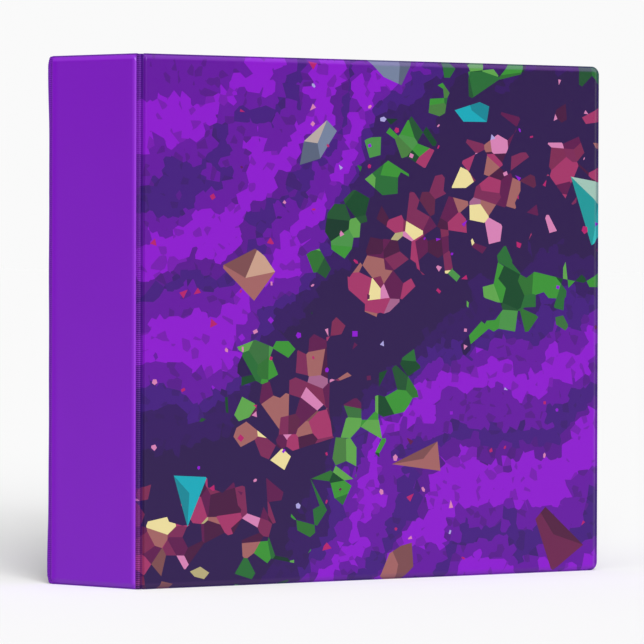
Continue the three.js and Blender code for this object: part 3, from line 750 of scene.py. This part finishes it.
def shard_group():
    """Scattered straight-sided polygons. Each cell of a mosaic may hold one of three to five sides, turned
    and stretched at random; its sectors are its facets. Chance is the likelihood of one where the distance
    from the river equals Bank, and it falls to Elsewhere over Spread."""
    made, given, out = group(
        "shard_layer",
        [("Vector", VECTOR, None), ("Shift", VECTOR, (0, 0, 0)),
         ("Scale", FLOAT, 80.0), ("Size", FLOAT, 0.4),
         ("Bank", FLOAT, 0.05), ("Spread", FLOAT, 0.03), ("Chance", FLOAT, 0.5),
         ("Elsewhere", FLOAT, 0.05)],
        [("Mask", FLOAT), ("Hue", FLOAT), ("Shade", FLOAT)])
    w = Wiring(made)
    sockets = given.outputs
    shifted = w.vector("ADD", sockets["Vector"], sockets["Shift"])
    cell = w.cells(shifted, sockets["Scale"])
    pick, hue, turn = w.split(cell.outputs["Color"])
    offset = w.vector("SUBTRACT", shifted, cell.outputs["Position"])
    offset = w.vector("SCALE", offset, scale=sockets["Scale"])
    spin = w.node("ShaderNodeVectorRotate", rotation_type="Z_AXIS")
    w.join(offset, spin.inputs["Vector"])
    w.feed(spin.inputs["Angle"], w.times(turn, 40.0))
    x, y, _ = w.split(spin.outputs[0])
    stretched = w.times(y, w.fit(w.part(w.times(hue, 17.0)), 1.5, 0.9))
    sides = w.plus(w.math("FLOOR", w.times(w.part(w.times(turn, 31.0)), 2.999)), 3.0)
    angle = w.math("ARCTAN2", stretched, x)
    sector = w.math("ROUND", w.over(w.times(angle, sides), 2 * math.pi))
    inside = w.minus(angle, w.over(w.times(sector, 2 * math.pi), sides))
    radius = w.vector("LENGTH", w.merge(x, stretched))
    reach = w.times(radius, w.math("COSINE", inside))
    size = w.times(sockets["Size"], w.fit(w.part(w.times(pick, 57.0)), 0.7, 0.5))
    river = w.node("ShaderNodeGroup", node_tree=river_distance)
    w.join(w.vector("SUBTRACT", cell.outputs["Position"], sockets["Shift"]), river.inputs["Vector"])
    off_bank = w.math("ABSOLUTE", w.minus(river.outputs["Distance"], sockets["Bank"]))
    near = w.minus(1.0, w.over(off_bank, sockets["Spread"]), clamp=True)
    chance = w.fit(near, w.minus(sockets["Chance"], sockets["Elsewhere"]), sockets["Elsewhere"])
    mask = w.times(w.less(reach, size), w.less(pick, chance))
    facet = w.part(w.times(w.plus(w.times(sector, 0.377), hue), 7.31))
    w.join(mask, out.inputs["Mask"])
    w.join(hue, out.inputs["Hue"])
    w.join(facet, out.inputs["Shade"])
    return made


GREENS = [(0.0, "3F8F3A"), (0.30, "2F6B3A"), (0.52, "5FA04E"), (0.66, "1F4A30"), (0.80, "3A2360"),
          (0.92, "4C8F4A")]
REDS = [(0.0, "A03A68"), (0.26, "5F2450"), (0.50, "7A3058"), (0.64, "9E6464"), (0.76, "D080B0"),
        (0.84, "E5D69A"), (0.91, "5F2450")]
STONES = [(0.0, "5F2450"), (0.38, "9E6464"), (0.62, "6B2C50"), (0.82, "74809A")]
TEALS = [(0.0, "2CB8B8"), (0.6, "23A4B4")]
MOTES = [(0.0, "B02A6A"), (0.3, "8A22C8"), (0.55, "D080B0"), (0.75, "5F2450"), (0.88, "A8A0D8")]

# Each layer: palette, cells in a metre, shift, size in a cell, bank, spread, chance there and elsewhere,
# and its facets' relief
SINGLES = (
    (STONES, 19.0, (0.31, 0.12), 0.30, 0.150, 0.070, 0.70, 0.02, 0.45),
    (TEALS, 27.0, (0.64, 0.09), 0.32, 0.026, 0.024, 0.45, 0.0, 0.4),
    (MOTES, 110.0, (0.41, 0.71), 0.17, 0.080, 0.180, 0.16, 0.05, 0.0),
)


def broken(w, place, coarse, fine):
    """The place of the shard at a point and three random numbers for it, where the shards are what two
    mosaics' cells cut each other into."""
    shift = (0.37, 0.19, 0.0)
    first = w.cells(place, coarse)
    second = w.cells(w.vector("ADD", place, shift), fine)
    unshifted = w.vector("SUBTRACT", second.outputs["Position"], shift)
    middle = w.vector("ADD", first.outputs["Position"], unshifted)
    numbers = w.vector("FRACTION", w.vector("ADD", first.outputs["Color"], second.outputs["Color"]))
    return w.vector("SCALE", middle, scale=0.5), w.split(numbers)


def distance_from_river(w, place):
    river = w.node("ShaderNodeGroup", node_tree=river_distance)
    w.join(place, river.inputs["Vector"])
    return river.outputs["Distance"]


def print_group():
    """The covers' print: ragged bands of purple on both sides of a dark slanting river, clusters of coloured
    shards along its banks, others on it, and single stones. The shards' straight sides come from two mosaics
    laid over each other."""
    made, given, out = group("shard_print", [("Vector", VECTOR, None)], [("Color", "NodeSocketColor")])
    w = Wiring(made)
    place = given.outputs["Vector"]
    spot, (_, tone, _) = broken(w, place, 120.0, 205.0)
    drift = w.vector("SUBTRACT", w.noise(spot, 15.0, detail=4, roughness=0.62).outputs[1], (0.5, 0.5, 0.5))
    away = distance_from_river(w, w.vector("ADD", spot, w.vector("SCALE", drift, scale=0.085)))
    color = w.ramp(w.over(away, BAND_REACH), [(stop / BAND_REACH, ink(code)) for stop, code in BANDS])
    color = w.mix(w.times(w.more(tone, 0.86), 0.35), color, ink(DARK_PLUM))

    spot, (chance, hue, tone) = broken(w, place, 52.0, 88.0)
    off = distance_from_river(w, spot)
    patch = w.fit(w.noise(spot, 17.0, detail=1).outputs[0], 3.2, -0.95, clamp=True)
    leaf = w.minus(1.0, w.over(w.math("ABSOLUTE", w.minus(off, 0.066)), 0.030), clamp=True)
    bloom = w.minus(1.15, w.over(off, 0.048), clamp=True)
    for palette, here in ((REDS, bloom), (GREENS, leaf)):
        tint = w.ramp(hue, [(stop, ink(code)) for stop, code in palette])
        tint = w.mix(w.times(w.more(tone, 0.72), 0.45), tint, ink(NEAR_BLACK))
        shown = w.less(chance, w.times(w.times(here, patch), 0.85))
        color = w.mix(shown, color, tint)

    for palette, scale, shift, size, bank, reach, likely, elsewhere, relief in SINGLES:
        layer = w.node("ShaderNodeGroup", node_tree=shard_layer)
        w.join(place, layer.inputs["Vector"])
        layer.inputs["Shift"].default_value = (*shift, 0.0)
        for label, value in (("Scale", scale), ("Size", size), ("Bank", bank), ("Spread", reach),
                             ("Chance", likely), ("Elsewhere", elsewhere)):
            layer.inputs[label].default_value = value
        tint = w.ramp(layer.outputs["Hue"], [(stop, ink(code)) for stop, code in palette])
        tint = w.mix(w.times(w.more(layer.outputs["Shade"], 0.6), relief), tint, ink(NEAR_BLACK))
        tint = w.mix(w.times(w.less(layer.outputs["Shade"], 0.08), relief), tint, ink("E8C8A8"))
        color = w.mix(layer.outputs["Mask"], color, tint)
    w.join(color, out.inputs["Color"])
    return made


def brushed_group():
    """Fine rolling marks along the metal and slow cloudiness, as a height and a roughness."""
    made, given, out = group("rolled_metal", [("Vector", VECTOR, None), ("Base", FLOAT, 0.2)],
                             [("Height", FLOAT), ("Roughness", FLOAT)])
    w = Wiring(made)
    stretched = w.vector("MULTIPLY", given.outputs["Vector"], (3000.0, 3000.0, 40.0))
    marks = w.noise(stretched, 1.0, detail=2, dimensions="3D").outputs[0]
    cloud = w.noise(given.outputs["Vector"], 55.0, detail=3, dimensions="3D").outputs[0]
    w.join(marks, out.inputs["Height"])
    rough = w.plus(given.outputs["Base"], w.times(w.plus(w.times(marks, 0.5), cloud), 0.10))
    w.join(rough, out.inputs["Roughness"])
    return made


grain_group = leatherette_group()
river_distance = river_group()
shard_layer = shard_group()
cover_print = print_group()
metal_group = brushed_group()


def base_material(name):
    """A material with its Principled shader, and short calls for its tree."""
    made = bpy.data.materials.new(name)
    made.use_nodes = True
    return made, Wiring(made.node_tree), made.node_tree.nodes["Principled BSDF"]


def ribbed_tint(w, uv, tint, light):
    """A strip's colour: painted shade between its ribs and in its groove, a painted highlight on them, and the
    liner's inside.
    """
    run, z, _ = w.split(uv)
    # Painted shade between the ribs and in the groove, and a painted highlight on the crests
    valley = w.less(w.math("COSINE", w.times(z, 2 * math.pi / RIB_PITCH)), 0.0)
    groove = w.more(run, RIBS_END_SHARE * HINGE_WIDTH)
    shade = w.most(w.times(valley, VALLEY_SHADE), w.times(groove, GROOVE_SHADE))
    crest = w.times(w.minus(1.0, w.most(valley, groove)), CREST_HIGHLIGHT)
    tint = w.mix(crest, w.mix(shade, tint, ink(PAINTED_SHADE, light)), ink(PAINTED_HIGHLIGHT, light))
    inner_face = w.more(run, INNER_FACE_SHIFT / 2 * HINGE_WIDTH)
    return w.mix(inner_face, tint, ink(LINER_PURPLE, 1.0))


def panel_tint(w, uv, tint, light, amount, on_spine):
    """A panel's colour: a painted highlight over its board's edges, and painted shade along its welded rims.
    """
    u, z, _ = w.split(uv)
    from_end = w.least(z, w.minus(HEIGHT, z))
    # Painted highlight over the shoulders along the top and lower edges, weaker along the lower ones
    pale = w.times(w.over(w.minus(HIGHLIGHT_REACH, from_end), HIGHLIGHT_FADE, clamp=True), amount)
    pale = w.times(pale, w.fit(w.more(z, HEIGHT / 2), 1 - LOWER_HIGHLIGHT_SHARE, LOWER_HIGHLIGHT_SHARE))
    if on_spine:
        # On the spine, a soft painted highlight band and a bright painted highlight line along both sides
        from_side = w.minus(SPINE_HALF, w.math("ABSOLUTE", u))
        soft = w.times(w.over(w.minus(SIDE_REACH, from_side), SIDE_FADE, clamp=True), SIDE_HIGHLIGHT)
        pale = w.most(pale, w.most(soft, w.times(w.less(from_side, SIDE_LINE), SIDE_LINE_HIGHLIGHT)))
    tint = w.mix(pale, tint, ink(PAINTED_HIGHLIGHT, light))
    # Painted shade along the recessed rims at the ends and the fore edge
    low = w.less(from_end, RIM_WIDTH + RIM_SHADE_MARGIN)
    fore = w.more(u, COVER_WIDTH - FORE_RIM_WIDTH - FORE_SHADE_MARGIN)
    return w.mix(w.times(w.most(low, fore), RIM_SHADE), tint, ink(PAINTED_SHADE, light))


def vinyl(name, color=None, light=COVER_LIGHT, specular=0.3, bump=0.22, coat=0.0, ribbed=False,
          on_spine=False):
    """Calendered vinyl over fine grain, in a plain colour with slow mottling, or without one in the print. On
    the spine its shine comes up from the far side."""
    made, w, shader = base_material(name)
    uv = w.node("ShaderNodeUVMap", uv_map="surface").outputs[0]
    if color:
        mottle = w.noise(uv, 26.0, detail=4).outputs[0]
        tint = w.mix(w.times(mottle, 0.12), ink(color, light), darker(ink(color, light), 0.72))
    else:
        art = w.node("ShaderNodeGroup", node_tree=cover_print)
        w.join(uv, art.inputs["Vector"])
        tint = art.outputs["Color"]
    if ribbed:
        tint = ribbed_tint(w, uv, tint, light)
    else:
        tint = panel_tint(w, uv, tint, light, PLAIN_HIGHLIGHT if color else PRINT_HIGHLIGHT, on_spine)
    w.join(tint, shader.inputs["Base Color"])
    grain = w.node("ShaderNodeGroup", node_tree=grain_group)
    w.join(uv, grain.inputs["Vector"])
    w.join(grain.outputs["Roughness"], shader.inputs["Roughness"])
    w.relief(shader, grain.outputs["Height"], bump, GRAIN_DEPTH)
    shader.inputs["Coat Roughness"].default_value = 0.22
    levels = [("Specular IOR Level", specular), ("Coat Weight", coat)]
    if on_spine:
        shine = w.over(w.plus(w.split(uv)[0], SPINE_HALF), DULL_RUN, clamp=True)
        levels = [(label, w.times(shine, level)) for label, level in levels]
    for label, level in levels:
        w.feed(shader.inputs[label], level)
    return made


def metal(name, color, base):
    """Plated steel with faint rolling marks."""
    made, w, shader = base_material(name)
    place = w.node("ShaderNodeTexCoord").outputs["Object"]
    marks = w.node("ShaderNodeGroup", node_tree=metal_group)
    w.join(place, marks.inputs["Vector"])
    marks.inputs["Base"].default_value = base
    cloud = w.noise(place, 90.0, detail=3, dimensions="3D").outputs[0]
    tint = w.mix(w.times(cloud, 0.25), linear(color), darker(linear(color), 0.75))
    w.join(tint, shader.inputs["Base Color"])
    shader.inputs["Metallic"].default_value = 1.0
    w.join(marks.outputs["Roughness"], shader.inputs["Roughness"])
    w.relief(shader, marks.outputs["Height"], 0.05, MARKS_DEPTH)
    return made


def chipboard_material():
    """Grey-brown board with flecks."""
    made, w, shader = base_material("chipboard")
    place = w.node("ShaderNodeTexCoord").outputs["Object"]
    fleck = w.noise(place, 900.0, detail=4, roughness=0.7, dimensions="3D").outputs[0]
    stops = [(0.0, linear("6B5E4C")), (0.5, linear("8F8069")), (0.8, linear("A89A82"))]
    w.join(w.ramp(fleck, stops, "LINEAR"), shader.inputs["Base Color"])
    shader.inputs["Roughness"].default_value = 0.9
    w.relief(shader, fleck, 0.3, GRAIN_DEPTH)
    return made


plain_vinyl = vinyl("plain_vinyl", SPINE_PURPLE, light=SPINE_LIGHT, coat=0.12, on_spine=True)
printed_vinyl = vinyl("printed_vinyl")
hinge_vinyl = vinyl("hinge_vinyl", ribbed=True, specular=0.15)
back_hinge_vinyl = vinyl("back_hinge_vinyl", SPINE_PURPLE, light=SPINE_LIGHT, ribbed=True, specular=0.15)
liner_vinyl = vinyl("liner_vinyl", LINER_PURPLE, light=1.0, bump=0.5)
pocket_vinyl = vinyl("pocket_vinyl", "7630B4", light=1.0, specular=0.4, bump=0.12, coat=0.25)
nickel = metal("nickel_plate", "D6D4CE", 0.16)
ring_nickel = metal("ring_nickel", "DEDCD8", 0.10)
zinc = metal("zinc_plate", "A8ABAE", 0.30)
chipboard = chipboard_material()


def dress(piece, material, body=None):
    """Gives a piece its material and the body that it rides on."""
    piece.data.materials.clear()
    piece.data.materials.append(material)
    if body:
        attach(piece, body)
    return piece


# The pieces

cover_radii = (INNER_CORNER_RADIUS, CORNER_RADIUS)
cover_rims = (HINGE_RIM_WIDTH, FORE_RIM_WIDTH, RIM_WIDTH)
cover_run = COVER_WIDTH - HINGE_WIDTH
spine_radii = (SPINE_CORNER_RADIUS, SPINE_CORNER_RADIUS)
spine_rims = (SPINE_SIDE_RIM, SPINE_SIDE_RIM, RIM_WIDTH)


def even_fullness(z):
    """How far the front hinge bows out: evenly, but for its last few millimetres."""
    return np.clip(np.minimum(z, HEIGHT - z) / (6 * MM), 0, 1) ** 0.5 * FRONT_FULLNESS


def slack_fullness(z):
    """How far the back hinge bows out: unevenly, most near its ends, with slow waves between them."""
    near_ends = np.exp(-((z - 12 * MM) / (22 * MM)) ** 2) + np.exp(-((HEIGHT - 10 * MM - z) / (24 * MM)) ** 2)
    waves = 0.10 * np.sin(z / (23 * MM)) + 0.07 * np.sin(z / (9 * MM) + 1.0)
    taper = np.clip(np.minimum(z, HEIGHT - z) / (5 * MM), 0, 1) ** 0.5
    return taper * (BACK_FULLNESS + 1.1 * near_ends + waves)


spine_skin = skin("spine_skin", spine_panel, -SPINE_HALF, 2 * SPINE_HALF, spine_radii, 1, spine_rims, 1,
                  steep=SPINE_SIDE_STEEP, power=SPINE_END_POWER, round_sides=1.0)
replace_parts(dress(spine_skin, plain_vinyl, "spine"), "spine_wrap")
spine_lining = skin("spine_lining", spine_panel, -SPINE_HALF, 2 * SPINE_HALF, spine_radii, -1, spine_rims, 2)
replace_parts(dress(spine_lining, liner_vinyl, "spine"), "spine_liner")
spine_core = board("spine_core", spine_panel, -SPINE_HALF, 2 * SPINE_HALF, spine_rims, power=SPINE_END_POWER)
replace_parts(dress(spine_core, chipboard, "spine"), "spine_board")

for word, panel, turn, start, web_vinyl, fullness in (
        ("front", front_panel, 1, FRONT_POCKET_START, hinge_vinyl, even_fullness),
        ("back", back_panel, -1, BACK_POCKET_START, back_hinge_vinyl, slack_fullness)):
    body = word + "_cover"
    outside = skin(word + "_skin", panel, HINGE_WIDTH, cover_run, cover_radii, 1, cover_rims, 3 + turn,
                   steep=HINGE_SIDE_STEEP)
    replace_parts(dress(outside, printed_vinyl, body), word + "_wrap")
    lining = skin(word + "_lining", panel, HINGE_WIDTH, cover_run, cover_radii, -1, cover_rims, 7 + turn,
                  steep=HINGE_SIDE_STEEP)
    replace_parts(dress(lining, liner_vinyl, body), word + "_liner")
    core = board(word + "_core", panel, HINGE_WIDTH, cover_run, cover_rims, HINGE_SIDE_STEEP)
    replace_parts(dress(core, chipboard, body), word + "_board")
    sheet = pocket(word + "_pocket_sheet", panel, start)
    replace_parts(dress(sheet, pocket_vinyl, body), word + "_pocket")
    web = dress(hinge_web(word + "_hinge_web", panel, turn, fullness), web_vinyl)
    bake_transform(web)
    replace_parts(web, word + "_hinge")

for place, station in (("upper", -RING_PITCH), ("middle", 0.0), ("lower", RING_PITCH)):
    straight = straight_half(place + "_straight_wire", station)
    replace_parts(dress(straight, ring_nickel, "straight_leaf"), place + "_ring_straight_half")
    bowed = bowed_half(place + "_bowed_wire", station)
    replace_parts(dress(bowed, ring_nickel, "bowed_leaf"), place + "_ring_bowed_half")

finished = (
    ("ring_housing", nickel, "nickel_plate", "back_cover", 30, 0.12 * MM),
    ("straight_blade", zinc, "spring_steel", "straight_leaf", 30, 0.1 * MM),
    ("bowed_blade", zinc, "spring_steel", "bowed_leaf", 30, 0.1 * MM),
    ("upper_trigger", nickel, "nickel_plate", "upper_trigger", 30, 0.15 * MM),
    ("lower_trigger", nickel, "nickel_plate", "lower_trigger", 30, 0.15 * MM),
    ("upper_rivet", nickel, "nickel_plate", "back_cover", 50, 0.0),
    ("lower_rivet", nickel, "nickel_plate", "back_cover", 50, 0.0),
    ("upper_trigger_pin", zinc, "spring_steel", "back_cover", 40, 0.1 * MM),
    ("lower_trigger_pin", zinc, "spring_steel", "back_cover", 40, 0.1 * MM),
)
for node, material, slot, body, angle, bevel in finished:
    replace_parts(dress(refined(node, angle, bevel), material, body), node)


# The floor, the light and the camera

def studio():
    """A pale floor and sky. The sky lights everything evenly, and two broad suns add the rest of the floor's
    brightness: one from the right of the camera, which puts the soft shadow behind the object and to its
    left, and one from above. Two fills light the object alone from behind."""
    scene = bpy.context.scene
    world = bpy.data.worlds.new("studio")
    scene.world = world
    world.use_nodes = True
    w = Wiring(world.node_tree)
    background = world.node_tree.nodes["Background"]
    path = w.node("ShaderNodeLightPath")
    sky = w.mix(path.outputs["Is Camera Ray"], (SKY_LIGHT,) * 3 + (1,), (PALE,) * 3 + (1,))
    w.join(sky, background.inputs["Color"])

    floor_mesh = bpy.data.meshes.new("floor")
    corners = [(x * FLOOR_REACH, y * FLOOR_REACH, 0) for x, y in ((-1, -1), (1, -1), (1, 1), (-1, 1))]
    floor_mesh.from_pydata(corners, [], [(0, 1, 2, 3)])
    floor = bpy.data.objects.new("floor", floor_mesh)
    scene.collection.objects.link(floor)
    made, w, shader = base_material("floor")
    level = PALE / (SKY_LIGHT + sum(light * math.sin(height) for _, light, _, height, _ in SUNS))
    seen = w.node("ShaderNodeLightPath").outputs
    white = w.most(w.most(seen["Is Camera Ray"], seen["Is Glossy Ray"]), seen["Is Transmission Ray"])
    w.join(w.mix(white, (FLOOR_BOUNCE,) * 3 + (1,), (level,) * 3 + (1,)), shader.inputs["Base Color"])
    shader.inputs["Roughness"].default_value = 1.0
    shader.inputs["Specular IOR Level"].default_value = 0.0
    floor_mesh.materials.append(made)

    pieces = bpy.data.collections.new("pieces")
    for thing in scene.objects:
        if thing.type == "MESH" and thing != floor:
            pieces.objects.link(thing)
    for name, light, heading, height, spread in SUNS + FILLS:
        data = bpy.data.lights.new(name, "SUN")
        data.energy = light * math.pi
        data.angle = spread
        sun = bpy.data.objects.new(name, data)
        level_part = math.cos(height)
        travel = Vector((math.sin(heading) * level_part, math.cos(heading) * level_part, -math.sin(height)))
        sun.rotation_euler = travel.to_track_quat("-Z", "Y").to_euler()
        scene.collection.objects.link(sun)
        if name.endswith("_fill"):
            sun.light_linking.receiver_collection = pieces


def camera():
    """The camera that a fit to the photograph's corners gives, for its frame of 644 by 644 pixels."""
    focal_pixels, frame_pixels, sensor = 3994.0, 644.0, 36.0
    yaw, pitch, roll = math.radians(-36.005), math.radians(-1.010), math.radians(0.175)
    distance, target = 2.312, Vector((0.0124, 0.0, 0.1462))
    forward = Vector((math.sin(yaw) * math.cos(pitch), math.cos(yaw) * math.cos(pitch), math.sin(pitch)))
    data = bpy.data.cameras.new("camera")
    data.sensor_width = sensor
    data.sensor_fit = "HORIZONTAL"
    data.lens = focal_pixels / frame_pixels * sensor
    data.clip_end = 60
    made = bpy.data.objects.new("camera", data)
    made.location = target - forward * distance
    level = Vector((math.cos(yaw), -math.sin(yaw), 0))
    upright = level.cross(forward)
    right = level * math.cos(roll) + upright * math.sin(roll)
    up = upright * math.cos(roll) - level * math.sin(roll)
    made.rotation_euler = Matrix((right, up, -forward)).transposed().to_euler()
    bpy.context.scene.collection.objects.link(made)
    bpy.context.scene.camera = made


studio()
camera()
bpy.context.scene.view_settings.view_transform = "Standard"
